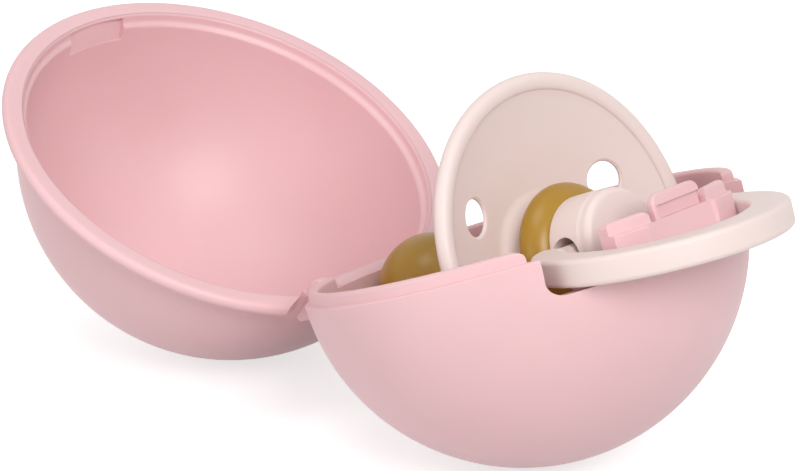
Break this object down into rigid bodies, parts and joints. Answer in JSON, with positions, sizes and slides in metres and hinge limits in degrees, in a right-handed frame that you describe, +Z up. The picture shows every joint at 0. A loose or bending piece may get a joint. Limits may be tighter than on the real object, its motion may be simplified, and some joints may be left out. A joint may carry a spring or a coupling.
{
  "type": "pacifier sterilizer case",
  "caption": "Round hinged two-shell case with a snap latch and side notches, lying open, with a round-shield pacifier inside whose ring hangs over the latch tab.",
  "frame": {"origin": "on the table, under the middle of the open case's bounding box", "axes": "+Z up from the table; +X from the hinge towards the latch and the ring; the hinge axis is parallel to Y"},
  "size_m": [0.1229, 0.0642, 0.0514],
  "materials": {
    "case_pink": "satin polypropylene",
    "pacifier_blush": "satin to gloss moulded plastic",
    "latex": "smooth amber natural rubber"
  },
  "bodies": {
    "base": {"base_shell": "case_pink"},
    "lid": {"lid_shell": "case_pink"},
    "pacifier": {"pacifier_shield": "pacifier_blush", "nipple": "latex", "knob": "pacifier_blush"},
    "pull_ring": {"ring": "pacifier_blush"}
  },
  "joints": [
    {"name": "lid_hinge", "type": "hinge", "parent": "base", "child": "lid", "pos_m": [-0.00502, 0, 0.01705], "axis": [0, 1, 0], "range_deg": [0, 131.7]},
    {"name": "pacifier_lift", "type": "slide", "parent": "base", "child": "pacifier", "axis": [-0.3859, 0, 0.9226], "range_m": [0, 0.06]},
    {"name": "ring_pivot", "type": "hinge", "parent": "pacifier", "child": "pull_ring", "pos_m": [0.03538, 0, 0.0326], "axis": [0, -1, 0], "range_deg": [0, 4]}
  ]
}
